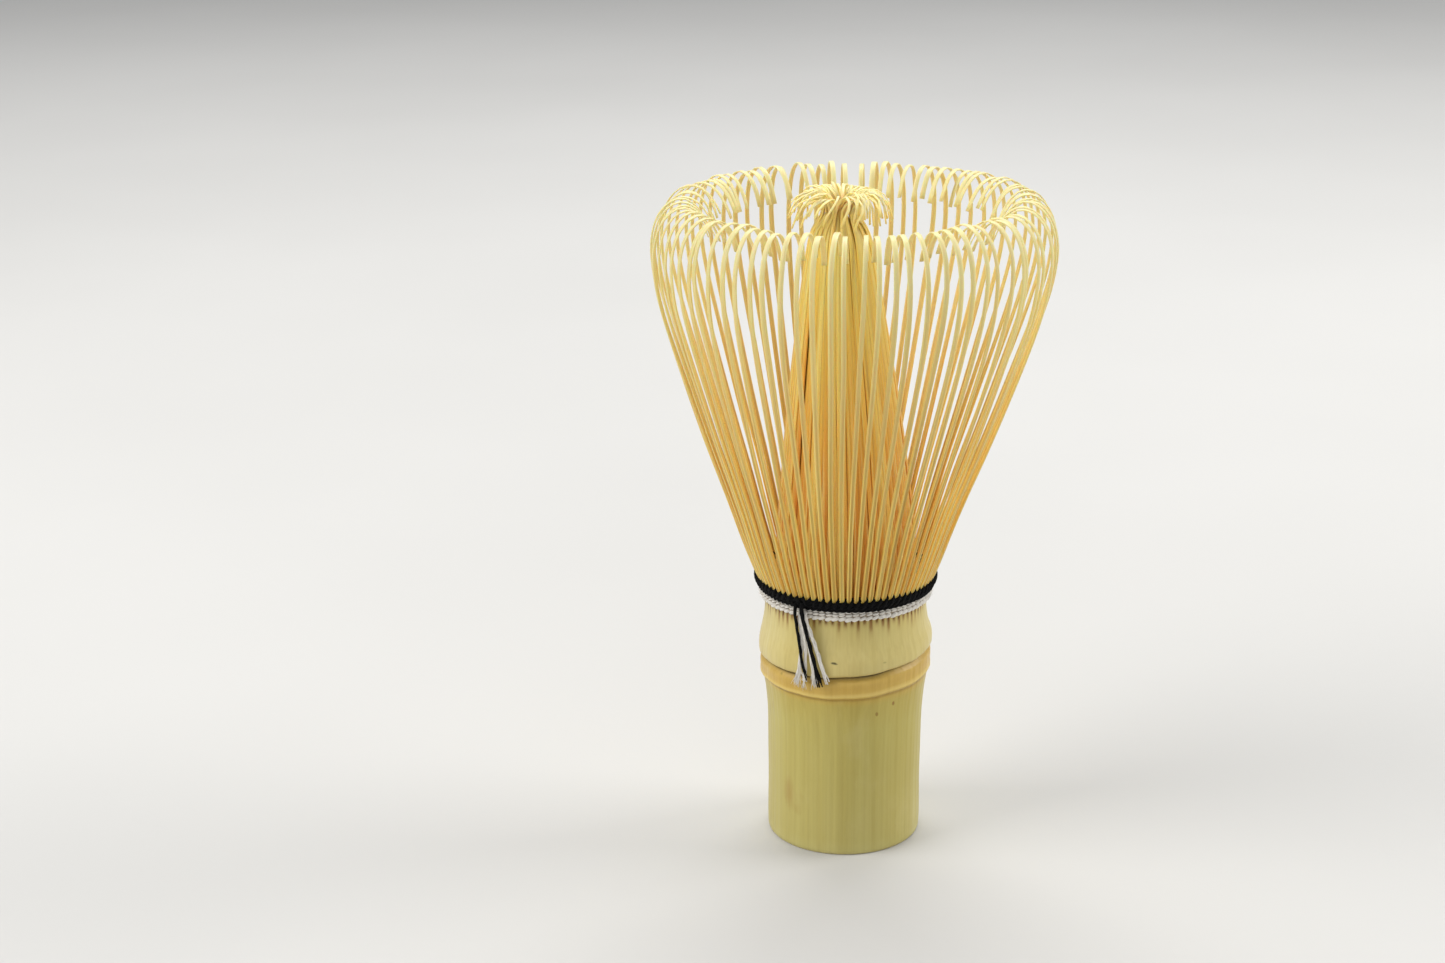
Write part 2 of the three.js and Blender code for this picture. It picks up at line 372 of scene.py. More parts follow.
    # inside the bore and on the sawn foot: paler, fibrous, with the ends of the vessels as dots
    inside = m.span(r, 12.15, 12.35, 1.0, 0.0)
    bore = m.mix(m.span(streak, 0.3, 0.7), "C8A868", "E2CB94")
    c = m.mix(inside, c, bore)
    cut = m.span(zmm, 0.02, 0.10, 1.0, 0.0)
    vv = m.n("TexVoronoi", feature="F1")
    m.l(m.scaled(p, 1500, 1500, 0), vv.inputs["Vector"])
    vv.inputs["Scale"].default_value = 1.0
    ends = m.mix(m.span(vv.outputs["Distance"], 0.16, 0.36, 1.0, 0.0), m.mix(m.noise(m.scaled(p, 400, 400, 0), 1.0), "DCC48A", "EAD9A8"), "8C6428")
    c = m.mix(cut, c, ends)
    rough = m.math("ADD", m.span(broad, 0.3, 0.7, 0.33, 0.46), m.math("ADD", m.math("MULTIPLY", inside, 0.3), m.math("MULTIPLY", groove, 0.3)))
    height = m.math("ADD", m.math("MULTIPLY", streak, 0.75), m.math("MULTIPLY", m.noise(p, 900, 3.0), 0.25))
    nrm = m.bump(height, 0.22, 0.00010)
    nrm = m.bump(m.math("SUBTRACT", 1.0, split_mark), 0.6, 0.0001, nrm)
    return m.finish(c, rough, nrm, **{"Specular IOR Level": 0.42, "Coat Weight": 0.06, "Coat Roughness": 0.35})


def tine_material(name, stops, face, wall_tint, dark, spread, lines, glow, grain):
    """Shaved bamboo: colour by height, a duller outer skin whose darkened faces leave the chamfered edges bright as a
    painted highlight, warmer split walls, fine fibres along the length with cream streaks that are partly painted
    highlight, and painted warm shade in the core of the bundle.
    """
    m = Mat(name)
    fib = m.attr("fib", True)
    tid, zz = m.attr("tid"), m.attr("zz")
    base = m.ramp(m.math("DIVIDE", m.math("SUBTRACT", zz, 40.0), 70.0), stops)
    fine = m.noise(m.scaled(fib, 9.0, 9.0, 0.10), 1.0, 4.0, 0.6)
    mid = m.noise(m.scaled(fib, 3.4, 2.4, 0.03), 1.0, 2.0, 0.5)
    w = m.n("TexWhiteNoise", noise_dimensions="1D")
    m.l(tid, w.inputs["W"])
    own = w.outputs["Value"]
    low = m.span(zz, 50.0, 102.0, 1.0, 0.15)
    c = m.mix(m.math("MULTIPLY", m.span(own, 0.0, 1.0, 0.0, spread, "LINEAR"), low), base, m.mix(1.0, base, dark, "MULTIPLY"))
    c = m.mix(m.span(own, 0.0, 0.38, max(0.0, lines - 0.3) * 1.1, 0.0), c, "FFE88C")
    # painted highlight: the middle of each face is darkened, partly as the duller skin, so the chamfered edges stay
    # bright as if catching the light
    edge_highlight = m.span(m.attr("wall"), 0.12, 0.34)
    flat = m.math("SUBTRACT", 1.0, edge_highlight)
    c = m.mix(m.math("MULTIPLY", flat, m.math("MULTIPLY", low, face[1])), c, m.mix(1.0, c, face[0], "MULTIPLY"))
    c = m.mix(m.math("MULTIPLY", m.span(m.attr("wall"), 0.4, 1.0), m.math("MULTIPLY", low, 0.6)), c, m.mix(1.0, c, wall_tint, "MULTIPLY"))
    c = m.mix(m.math("MULTIPLY", m.attr("inner"), 0.22), c, "F4DC9C")
    c = m.mix(m.math("MULTIPLY", m.span(mid, 0.36, 0.50, 0.45 * grain, 0.0), m.span(zz, 50.0, 108.0, 1.0, 0.3)), c, m.mix(1.0, c, "DDAE5C", "MULTIPLY"))
    # cream streaks along the fibres, partly fibre colour and partly a painted highlight for light caught on the strips
    c = m.mix(m.math("MULTIPLY", m.span(mid, 0.54, 0.70, 0.0, lines), m.span(zz, 60.0, 85.0, 1.0, 0.45)), c, "FAE08E")
    c = m.mix(m.math("MULTIPLY", m.span(fine, 0.52, 0.78, 0.0, 0.34 * grain), low), c, m.mix(1.0, c, "CFA050", "MULTIPLY"))
    # painted shade: the core of the inner bundle near the neck darkened to a warm orange, as by light bouncing between
    # the strips
    c = m.mix(m.math("MULTIPLY", m.attr("core"), 0.6), c, "C88A20")
    c = m.mix(m.span(m.noise(m.scaled(fib, 3.0, 2.0, 1.6), 1.0, 2.0), 0.735, 0.80, 0.0, 0.55), c, "7A5218")
    rough = m.span(fine, 0.3, 0.75, 0.36, 0.58)
    nrm = m.bump(fine, 0.35, 0.00008)
    return m.finish(c, rough, nrm, **{"Specular IOR Level": 0.45, "Subsurface Weight": glow, "Subsurface Radius": (1.0, 0.62, 0.3), "Subsurface Scale": 0.0007, "Sheen Weight": 0.04, "Sheen Roughness": 0.5})


def thread_material(name, dark, light, fuzz, sheen, rough0, gap_shade="050505", relief=0.75):
    """Twisted cotton: fine fibres winding round each strand, paler fuzz on top."""
    m = Mat(name)
    fib = m.attr("fib", True)
    fx, fy, fz = m.xyz(fib)
    wave = m.math("SINE", m.math("MULTIPLY", m.math("MULTIPLY_ADD", fz, 1.7, fx), TAU * 5.0))
    hair = m.noise(m.scaled(fib, 6.0, 1.0, 9.0), 1.0, 4.0, 0.65)
    speck = m.noise(m.obj(), 5200, 2.0, 0.6)
    f = m.math("ADD", m.span(wave, -1.0, 1.0, 0.0, 0.45, "LINEAR"), m.math("MULTIPLY", hair, 0.6), clamp=True)
    c = m.mix(f, dark, light)
    c = m.mix(m.span(speck, 0.55, 0.8, 0.0, 0.5), c, fuzz)
    # painted shade: the colour darkens towards its shade colour where a point lies deep in the weave
    c = m.mix(m.span(m.attr("deep"), 0.38, 0.9, 0.0, 0.8), c, gap_shade)
    h = m.math("ADD", m.math("MULTIPLY", wave, 0.35), m.math("ADD", hair, m.math("MULTIPLY", speck, 0.6)))
    nrm = m.bump(h, relief, 0.00009)
    return m.finish(c, m.span(hair, 0.3, 0.7, rough0, 0.97), nrm, **{"Specular IOR Level": 0.2, "Sheen Weight": sheen, "Sheen Roughness": 0.45})


CULM = culm_material()
OUTER = tine_material("outer_bamboo", [(0.0, "EACA68"), (0.10, "ECCF6E"), (0.30, "EED476"), (0.55, "E9D280"), (0.80, "E6D78E"), (0.90, "E8DE9F"), (1.0, "ECE2AA")],
                      ("BDB07A", 0.78), "FCE49A", "EFE2B0", 0.35, 0.3, 0.45, 1.0)
# the palest cream at the top of the inner ramp is partly the paler shaved tips and partly a painted highlight for the
# light from above
INNER = tine_material("inner_bamboo", [(0.0, "F8C468"), (0.12, "FCC864"), (0.35, "FFCC60"), (0.65, "FFCE5E"), (0.86, "FFD262"), (0.95, "FFE084"), (0.98, "FFEEAA"), (1.0, "FFF2B4")],
                      ("F6E4A8", 0.15), "E2B468", "D4A456", 0.72, 0.85, 0.45, 0.8)
BLACK = thread_material("black_thread", "010101", "030304", "0C0D0F", 0.02, 0.9)
WHITE = thread_material("white_thread", "EDE7DD", "F9F4EA", "F8F2E6", 0.6, 0.85, "8E7858", 0.5)


# ---------------------------------------------------------------- the culm

def handle_lean(z):
    return -0.25 * (1 - smooth(z, 0, 40))


def head_lean(z):
    return 1.15 * smooth(z, 48, 108)


def build_culm():
    # outside and inside outline, [height, radius], from the rim of the slits down and back up through the bore
    outside = [(43.7, 13.1), (43.5, 13.3), (42.6, 13.34), (41, 13.42), (40, 13.47), (39.1, 13.54), (38.2, 13.66), (37.2, 13.86), (36.4, 14.08), (35.6, 14.3), (34.8, 14.45),
               (34.1, 14.5), (33.5, 14.48), (33.15, 14.42), (32.95, 14.28), (32.84, 14.0), (32.74, 13.68), (32.5, 13.55), (32.24, 13.66), (32.0, 13.92), (31.85, 14.08), (31.7, 14.2),
               (31.2, 14.25), (30.7, 14.22), (30.3, 14.16), (29.95, 14.16), (29.6, 14.22), (29.35, 14.25), (29.15, 14.22), (29.0, 14.12), (28.88, 13.95), (28.75, 13.8), (28.55, 13.73), (28.2, 13.68), (27.7, 13.6), (27.0, 13.48), (26.0, 13.34), (24.4, 13.19),
               (22, 13.02), (19, 12.92), (16, 12.87), (12, 12.85), (8, 12.84), (4, 12.86), (1.2, 12.88), (0.5, 12.85), (0.2, 12.76), (0.04, 12.6), (0.0, 12.45)]
    foot = [(0.0, 12.2), (0.0, 11.8), (0.0, 11.4), (0.0, 11.0), (0.0, 10.6), (0.03, 10.25), (0.25, 10.0), (0.7, 9.92)]
    bore = [(4, 9.9), (9, 9.92), (14, 9.95), (19, 9.94), (24, 9.9), (26.6, 9.9), (27.8, 9.8), (28.6, 9.3), (29.1, 8.4), (29.35, 7.2), (29.4, 5.5), (29.3, 3.5), (29.35, 1.5), (29.4, 0.02)]
    top = [(32.05, 0.02), (32.1, 2.0), (32.0, 4.5), (32.05, 7.0), (32.4, 8.6), (33.1, 9.8), (34.2, 10.45), (36, 10.6), (39, 10.6), (42, 10.62), (43.2, 10.7), (43.6, 10.9), (43.7, 11.2), (43.7, 12.2)]
    fine = []
    for a, b in zip(outside[:-1], outside[1:]):
        n = max(1, int(round(math.hypot(a[0] - b[0], a[1] - b[1]) / 0.42)))
        fine += [(a[0] + (b[0] - a[0]) * i / n, a[1] + (b[1] - a[1]) * i / n) for i in range(n)]
    rows = [fine, foot, bore, top]
    prof = np.array([q for part in rows for q in part])
    is_out = np.concatenate([np.ones(len(fine)), np.zeros(len(foot) + len(bore) + len(top))])
    offs = np.array([-0.11, 0.0, 0.11, 0.33, 0.525, 0.72]) / 13.34
    th = (np.arange(TINES)[:, None] * PITCH + offs[None]).ravel()
    mid = (np.arange(len(offs)) == 1)
    cut = RNG.uniform(0.9, 3.1, TINES)      # how far each slit runs down under the lacing
    z, r = prof[:, :1] + 0 * th[None], prof[:, 1:] + 0 * th[None]
    near_node = smooth(prof[:, 0], 22, 29.5)[:, None] * (1 - smooth(prof[:, 0], 35.5, 38.5))[:, None] * is_out[:, None]
    side = np.angle(np.exp(1j * (th + math.pi / 2 - 0.2)))
    wob = 0.16 * np.cos(th - 0.25) + 0.08 * np.sin(2 * th + 0.9) + 0.05 * np.sin(5 * th + 2.0) + 0.03 * np.sin(11 * th) + 0.02 * np.sin(23 * th + 1) + 0.30 * smooth(side, 0.0, 0.5) * (1 - smooth(side, 0.9, 2.0))
    z = z + near_node * wob[None]
    # the scar and the ring under it stand higher on one side of the culm than on the other
    skew = (smooth(prof[:, 0], 27.2, 31.4) * (1 - smooth(prof[:, 0], 33.0, 38.0)) * is_out)[:, None]
    z = z + skew * 0.62 * np.cos(th)[None]
    low = is_out[:, None] * (1 - smooth(prof[:, 0], 38, 41))[:, None] * smooth(prof[:, 0], 0.1, 3)[:, None]
    r = r + low * (0.07 * np.cos(2 * th + 1.2)[None] + 0.03 * np.sin(3 * th + 0.4)[None] + 0.025 * np.sin(prof[:, :1] * 0.5 + 2 * th[None]))
    ridge_amp = 0.012 * np.sin(37 * th) + 0.010 * np.sin(61 * th + 1.7) + 0.008 * np.sin(97 * th + 0.4)
    r = r + low * ridge_amp[None]
    # slits
    start = 42.6 - np.repeat(cut, len(offs))[None] * 0.45
    open_ = np.tile(mid, TINES)[None] * is_out[:, None] * smooth(z, start, start + 0.9)
    r = r - open_ * 0.75
    # bore a little out of round and rough
    ins = (1 - is_out)[:, None] * (prof[:, 1:] < 11.9) * (prof[:, 1:] > 1)
    r = r + ins * (0.12 * np.cos(2 * th + 2)[None] + 0.05 * np.sin(9 * th + prof[:, :1])) * (prof[:, 1:] > 8.0)
    v = np.stack([r * np.cos(th)[None] + handle_lean(z), r * np.sin(th)[None], z], axis=-1)
    rows_n, cols = z.shape
    groove = np.exp(-(((prof[:, 0] - 32.58) / 0.28) ** 2)) * is_out
    # bands for the painted shadow under the ring's lower edge and the painted highlight along it
    under = np.exp(-(((prof[:, 0] - 28.66) / 0.24) ** 2)) * is_out
    crest = np.exp(-(((prof[:, 0] - 29.4) / 0.28) ** 2)) * is_out
    # the scar's dark line, stain and painted shadow under the collar's lip, is sharpest on the front left, and softens
    # past a kink on the right
    psi = np.angle(np.exp(1j * (th + math.pi / 2)))
    vary = 0.55 + 0.45 * (1 - smooth(np.abs(psi + 0.55), 0.9, 1.3)) + 0.08 * np.sin(9 * th)
    b = Builder()
    faces = [f for f in grid_faces(rows_n, cols, True, False)]
    last = (rows_n - 1) * cols
    faces += [(last + j, last + (j + 1) % cols, (j + 1) % cols, j) for j in range(cols)]
    # grid_faces runs down the outside, so its faces look outwards as listed
    b.add(v.reshape(-1, 3), [tuple(reversed(f)) for f in faces], groove=(groove[:, None] * vary[None]).ravel(), ridge=(under[:, None] * np.ones(cols)[None]).ravel(),
          lip=(crest[:, None] * np.ones(cols)[None]).ravel(), own_z=np.repeat(prof[:, 0], cols))
    return b.make("culm", CULM, 50)


culm = build_culm()
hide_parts("bamboo_grip")
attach(culm, "grip")


# ---------------------------------------------------------------- outer tines

OUTER_LINE = [(12.75, 41.8), (13.02, 43.0), (13.7, 44.6), (14.62, 46.3), (15.42, 48.2), (16.9, 52.2), (19.55, 60.0), (23.2, 70.0), (26.65, 80.0), (29.3, 88.0), (31.0, 94.0),
              (31.75, 98.0), (32.0, 101.6), (31.6, 104.6), (30.7, 106.9), (29.2, 108.6), (27.4, 109.3), (25.7, 108.9), (24.3, 107.6), (23.3, 105.9), (22.6, 104.2)]


def build_outer():
    n = 64
    made = []
    for k in range(STAVES):
        b = Builder()
        for i in range(PER):
            j = k * PER + i
            phi = (j + 0.5) * PITCH
            out = RNG.normal(0, 0.28)
            up = RNG.normal(0, 0.22)
            curl = RNG.normal(0, 0.5)
            swing = RNG.normal(0, 0.2)
            tipsw = RNG.normal(0, 0.4)
            bow = RNG.normal(0, 0.18)
            line = np.array(OUTER_LINE)
            h = smooth(line[:, 1], 48, 104)
            line[:, 0] += np.minimum(out, 0.35) * h + bow * np.sin(np.pi * np.clip((line[:, 1] - 46) / 55, 0, 1))
            line[:, 1] += np.clip(up, -0.6, 0.35) * h
            hook = np.clip((np.arange(len(line)) - 15) / 5, 0, 1)
            line[:, 0] += 0.25 * h
            line[:, 0] += hook * curl * 0.8
            line[:, 1] += hook * (-0.3 * curl) + hook * RNG.normal(0, 0.35)
            path2, along = spline(line, n)
            r, z = path2[:, 0], path2[:, 1]
            u = along / along[-1]
            lat = swing * smooth(u, 0.05, 0.8) + tipsw * smooth(u, 0.8, 1.0) + 0.10 * np.sin(u * RNG.uniform(5, 9) + RNG.uniform(0, 6)) * smooth(u, 0.08, 0.3)
            if i in (0, PER - 1):      # the outermost tines of a stave keep clear of the next stave
                inward = 1.0 if i == 0 else -1.0
                lat = inward * np.maximum(inward * lat, -0.08) + inward * 0.34 * smooth(u, 0.6, 0.86)
            er, et = np.array([math.cos(phi), math.sin(phi), 0]), np.array([-math.sin(phi), math.cos(phi), 0])
            path = r[:, None] * er + lat[:, None] * et + z[:, None] * np.array([0, 0, 1.0])
            path[:, 0] += head_lean(z)
            own = RNG.normal(1, 0.05)
            width = np.interp(u, [0, 0.06, 0.12, 0.5, 0.8, 0.93, 1.0], [0.88, 0.86, 0.82, 0.82, 0.82, 0.86, 0.84]) * own
            if i in (0, PER - 1):
                width = width * (1 - 0.14 * smooth(u, 0.7, 0.9))
            thick = np.interp(u, [0, 0.08, 0.3, 0.7, 0.85, 1.0], [0.66, 0.58, 0.46, 0.34, 0.24, 0.16])
            turn = RNG.normal(0, 0.10) * smooth(u, 0.1, 1.0) + RNG.normal(0, 0.15) * smooth(u, 0.75, 1.0)
            side = et[None] * np.cos(turn)[:, None] + er[None] * np.sin(turn)[:, None]
            strip(b, path, width, thick, side, along, float(j))
        o = b.make(f"outer_stave_{k + 1:02d}_tines", OUTER)
        made.append(o)
    return made


outer_parts = build_outer()


# ---------------------------------------------------------------- inner tines

def waist_lean(z):
    return -1.2 * smooth(z, 50, 108) + 0.15 * head_lean(z)


def build_inner():
    n = 56
    made = []
    for k in range(STAVES):
        b = Builder()
        for i in range(PER):
            j = k * PER + i
            phi = (j + 0.5) * PITCH
            stray = RNG.random() < 0.05
            wide = -abs(RNG.normal(0, 0.17)) + (0.35 * RNG.uniform(0.4, 0.8) if stray else 0)
            depth = RNG.random()                      # 0 on the outside of the bundle, 1 in its core
            waist = 2.9 - 2.1 * depth**1.2
            zc = 107.6 + RNG.normal(0, 0.3)
            tip_r = RNG.uniform(7.2, 8.9) - 1.2 * depth * RNG.random()
            drop = RNG.uniform(2.2, 4.8)
            top_z = np.clip(109.9 + 0.6 * depth + RNG.normal(0, 0.25), 109.4, 110.8)
            line = np.array([(11.25, 42.4), (11.45, 44.6), (11.42, 48.5), (11.1 + wide * 0.4, 55.0), (10.4 + wide * 0.8, 62.5), (8.9 + wide, 76.0), (6.8 + wide * 0.9, 91.0),
                             (5.35 + wide * 0.5 - 0.3 * depth, 101.0), (4.55 - 0.8 * depth + wide * 0.3, 104.2), (0.55 * 3.7 + 0.45 * waist - 0.3 * depth + wide * 0.3, 106.1), (waist, zc), (waist + 0.75, zc + 1.25), (0.5 * waist + 0.36 * tip_r, top_z - 0.25),
                             (0.66 * tip_r, top_z), (tip_r * 0.87, top_z - 0.3 * drop), (tip_r, top_z - drop)])
            path2, along = spline(line, n)
            r, z = path2[:, 0], path2[:, 1]
            u = along / along[-1]
            # past the neck the tips part into a sweep to the left and one to the right
            psi = phi + math.pi / 2
            near = math.remainder(psi + 0.30, TAU)      # the parting at the front, and a slighter one behind
            far = math.remainder(psi + 0.10 - math.pi, TAU)
            comb = 0.12 * math.sin(2 * (psi + 0.2)) + 0.42 * math.tanh(near / 0.12) * math.exp(-((near / 0.5) ** 2)) + 0.22 * math.tanh(far / 0.1) * math.exp(-((far / 0.35) ** 2))
            drift = RNG.normal(0, 0.013) * smooth(u, 0.4, 0.8) + 0.55 * smooth(u, 0.86, 0.935) * (1 - 0.35 * smooth(u, 0.94, 1.0)) + comb * smooth(u, 0.88, 0.97) + RNG.normal(0, 0.10) * smooth(u, 0.9, 1.0)
            ang = phi - 0.12 + drift - 0.22 * smooth(u, 0.86, 0.95)
            er = np.stack([np.cos(ang), np.sin(ang), 0 * ang], axis=1)
            et = np.stack([-np.sin(ang), np.cos(ang), 0 * ang], axis=1)
            path = r[:, None] * er + z[:, None] * np.array([0, 0, 1.0])
            path = path + et * (0.11 * np.sin(u * RNG.uniform(4, 8) + RNG.uniform(0, 6)) * smooth(u, 0.06, 0.25) * (1 - smooth(u, 0.8, 0.9)))[:, None]
            path[:, 0] += waist_lean(z)
            width = np.interp(u, [0, 0.1, 0.5, 0.8, 0.9, 1.0], [0.82, 0.90, 0.86, 0.58, 0.41, 0.39]) * RNG.normal(1, 0.07)
            thick = np.interp(u, [0, 0.1, 0.6, 0.85, 1.0], [0.5, 0.42, 0.34, 0.24, 0.14])
            turn = RNG.normal(0, 0.10) * smooth(u, 0.1, 0.7)
            side = et * np.cos(turn)[:, None] + er * np.sin(turn)[:, None]
            # the core value marks where the painted warm shade in the middle of the bundle goes
            strip(b, path, width, thick, side, along, float(j) + 100.0, core=smooth(r, 3.3, 1.6) * smooth(z, 102, 106) * (1 - smooth(z, 108.6, 109.8)))
        made.append(b.make(f"inner_stave_{k + 1:02d}_tines", INNER))
    return made


inner_parts = build_inner()


# ---------------------------------------------------------------- lacing

def ring_path(r0, z0, n, amp_r=0.0, amp_z=0.0, turns=0, phase=0.0, wander=0.04):
    th = np.linspace(0, TAU, n, endpoint=False)
    w = wander * (np.sin(7 * th + z0) + 0.6 * np.sin(17 * th + 2 * z0))
    r = r0 + amp_r * np.cos(turns * th + phase) + 0.5 * w
    z = z0 + amp_z * np.sin(turns * th + phase) + w
    return np.stack([r * np.cos(th), r * np.sin(th), z], axis=1)


def build_black():
    b = Builder()
    n = TINES * 8
    # three courses of two-ply thread pulled tight, and two inside, between the outer and inner tines
    for c, (r0, z0, ply) in enumerate([(14.42, 44.62, 0.34), (14.55, 45.14, 0.36), (14.66, 45.68, 0.35)]):
        for q in range(2):
            tube(b, ring_path(r0, z0, n, 0.2, 0.17, 46 + 2 * c, math.pi * q), ply * 0.8, 7, True, c * 2.0 + q, 0.4)
    for c, (r0, z0) in enumerate([(12.35, 44.6), (12.4, 45.3)]):
        tube(b, ring_path(r0, z0, TINES * 3, 0.1, 0.08, 40), 0.36, 7, True, 9.0 + c, 0.4)
    # the thread dives in between every two tines and shows there as a tooth
    for j in range(TINES):
        a = j * PITCH
        hi = RNG.normal(0, 0.12)
        pts = []
        for (da, r, z) in [(-0.6, 14.85, 45.1), (-0.4, 14.98, 45.5), (-0.2, 14.98, 45.95), (0.0, 14.86, 46.3 + hi), (0.1, 14.45, 46.5 + hi), (0.1, 13.8, 46.4 + hi), (0.1, 13.0, 46.0)]:
            t = a + da * PITCH
            pts.append((r * math.cos(t), r * math.sin(t), z))
        path, _ = spline(pts, 14)
        tube(b, path, np.interp(np.linspace(0, 1, 14), [0, 0.3, 0.55, 1], [0.28, 0.30, 0.22, 0.16]), 7, False, 20.0 + j, 0.5)
    # loose fibres standing off the thread
    for q in range(240):
        t = RNG.uniform(0, TAU)
        z0 = RNG.uniform(44.4, 46.3)
        r0 = 14.75 + 0.22 * (z0 - 44.4) / 1.9
        s, g = RNG.uniform(-0.05, 0.05), RNG.uniform(0.05, 0.28)
        pts = [(r * math.cos(t + w), r * math.sin(t + w), z) for r, w, z in [(r0 - 0.15, 0, z0), (r0 + g, s * 0.5, z0 + RNG.uniform(-0.1, 0.25)), (r0 + g * 0.6, s, z0 + RNG.uniform(-0.3, 0.5))]]
        path, _ = spline(pts, 5)
        tube(b, path, np.linspace(0.022, 0.01, 5), 4, False, 200.0 + q, 0)
    return b.make("black_lacing_thread", BLACK)


def build_white():
    b = Builder()
    # a core lost in shadow, and on it the short slanted lays of the weave, one to each tine and course
    tube(b, ring_path(13.7, 43.4, TINES * 4), 0.46, 8, True, 90.0, 0.4, 0.8, 14.6)
    for c, (r0, z0, h, half, shift) in enumerate([(14.08, 44.06, 0.21, 0.46, 0.0), (14.14, 43.60, 0.21, 0.47, 0.05), (14.12, 42.92, 0.33, 0.50, 0.02)]):
        for j in range(TINES):
            a = (j + 0.5 + shift + RNG.normal(0, 0.035)) * PITCH
            fat = RNG.normal(1, 0.08)
            tilt = (0.06, 0.09, 0.15)[c] + RNG.normal(0, 0.025)
            dz = RNG.normal(0, 0.035)
            s = np.linspace(-1, 1, 9)
            rr = r0 - 0.46 * s**4 + 0.03 * s + RNG.normal(0, 0.02)
            aa = a + half * s * PITCH
            path = np.stack([rr * np.cos(aa), rr * np.sin(aa), z0 + dz + tilt * np.sin(s * 1.5)], axis=1)
            tube(b, path, h * fat * np.sqrt(np.clip(1.0 - 0.78 * s**4, 0.05, 1)), 8, False, c * 100.0 + j, 0.9, 1.0, r0 + 0.2)
    for q in range(200):
        t = RNG.uniform(0, TAU)
        z0 = RNG.uniform(42.5, 44.2)
        s, g = RNG.uniform(-0.05, 0.05), RNG.uniform(0.05, 0.25)
        pts = [(r * math.cos(t + w), r * math.sin(t + w), z) for r, w, z in [(14.25, 0, z0), (14.42 + g, s * 0.5, z0 + RNG.uniform(-0.2, 0.2)), (14.4 + g * 0.5, s, z0 + RNG.uniform(-0.4, 0.3))]]
        path, _ = spline(pts, 5)
        tube(b, path, np.linspace(0.022, 0.01, 5), 4, False, 200.0 + q, 0)
    return b.make("white_lacing_thread", WHITE)


black = build_black()
white = build_white()
for o, node, s in ((black, "black_lacing", "black_thread"), (white, "white_lacing", "white_thread")):
    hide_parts(node)
    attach(o, "grip")


# ---------------------------------------------------------------- thread ends

def front(deg, r, z):
    a = math.radians(deg - 90)
    return (r * math.cos(a), r * math.sin(a), z)


def hanging_end(name, pts, material, size, fray, strands, seed):
    """One thread end: twisted strands that keep together and open at the cut tip."""
    g = np.random.default_rng(seed)
    line = [front(*p) for p in pts]
    path, along = spline(line, 40)
    u = along / along[-1]
    t = unit(np.gradient(path, axis=0))
    rad = path.copy(); rad[:, 2] = 0; rad = unit(rad)
    s = unit(np.cross(t, rad))
    o = np.cross(s, t)
    o = np.where(np.sum(o * rad, axis=1, keepdims=True) < 0, -o, o)
    b = Builder()
    for q in range(strands):
        a0 = TAU * q / strands
        rr = (0.62 if q % 2 else 0.3) * size
        open_ = 1 + fray * smooth(u, 0.72, 1.0) * g.uniform(0.5, 1.3)
        a = a0 + u * 9.0 * (1 - 0.4 * smooth(u, 0.7, 1))
        off = s * (np.cos(a) * rr * open_)[:, None] + o * (np.abs(np.sin(a)) * rr * (1 + 0.15 * fray * smooth(u, 0.75, 1)))[:, None]
        fan = s * (g.normal(0, 0.16) * fray * smooth(u, 0.7, 1.0) * size * 2)[:, None]
        keep = g.integers(36, 41)
        p = (path + off + fan)[:keep]
        p[:, 2] += 0
        rads = np.linspace(1, 0.72, keep) * size * (0.36 if strands > 7 else 0.42)
        tube(b, p, rads, 6, False, float(q) + seed, 0.6)
        if fray > 0.8:
            for h in range(5):
                end = p[-6:]
                d = s[keep - 1] * g.normal(0, 0.45) * size * 2 + np.array([0, 0, -1.0]) * g.uniform(0.1, 0.8) + o[keep - 1] * abs(g.normal(0, 0.12))
                w = smooth(np.linspace(0, 1, 6), 0, 1)[:, None]
                tube(b, end + d[None] * w, np.linspace(0.045, 0.02, 6), 4, False, q * 9.0 + h, 0)
    return b.make(name, material)


ENDS = [
    ("white_thread_end_1", [(-29.0, 14.6, 44.0), (-29.3, 15.0, 42.6), (-28.8, 14.75, 40.6), (-28.8, 14.65, 37.6), (-29.6, 14.95, 34.6), (-31.7, 14.85, 30.9)], WHITE, 0.42, 2.2, 9),
    ("white_thread_end_2", [(-27.8, 14.7, 44.0), (-27.6, 15.1, 42.6), (-26.8, 14.85, 40.6), (-25.9, 14.7, 37.6), (-25.8, 14.95, 34.6), (-26.6, 14.85, 31.5)], WHITE, 0.34, 0.8, 7),
    ("black_thread_end_1", [(-31.2, 15.3, 45.4), (-31.5, 15.6, 44.0), (-30.9, 15.35, 41.6), (-29.3, 15.15, 38.2), (-26.9, 15.35, 35.0), (-24.0, 15.2, 32.2)], BLACK, 0.33, 0.6, 8),
    ("white_thread_end_3", [(-26.6, 14.8, 44.0), (-26.2, 15.2, 42.8), (-24.4, 15.0, 40.4), (-22.4, 14.85, 37.4), (-20.4, 15.1, 34.6), (-18.6, 14.95, 31.5)], WHITE, 0.43, 1.9, 9),
    ("black_thread_end_2", [(-26.9, 15.4, 45.6), (-26.6, 15.75, 44.2), (-24.9, 15.5, 41.6), (-21.6, 15.3, 38.0), (-18.0, 15.45, 34.6), (-15.0, 15.3, 31.4)], BLACK, 0.40, 0.6, 9),
    ("white_thread_end_4", [(-25.4, 14.9, 44.0), (-24.8, 15.3, 43.0), (-21.9, 15.1, 40.6), (-17.9, 14.9, 37.4), (-14.2, 15.1, 34.6), (-10.6, 14.9, 31.9)], WHITE, 0.40, 0.4, 8),
]
for i, (name, pts, material, size, fray, strands) in enumerate(ENDS):
    o = hanging_end(name + "_strands", pts, material, size, fray, strands, 31 + i)
    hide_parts(name)
    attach(o, "grip")


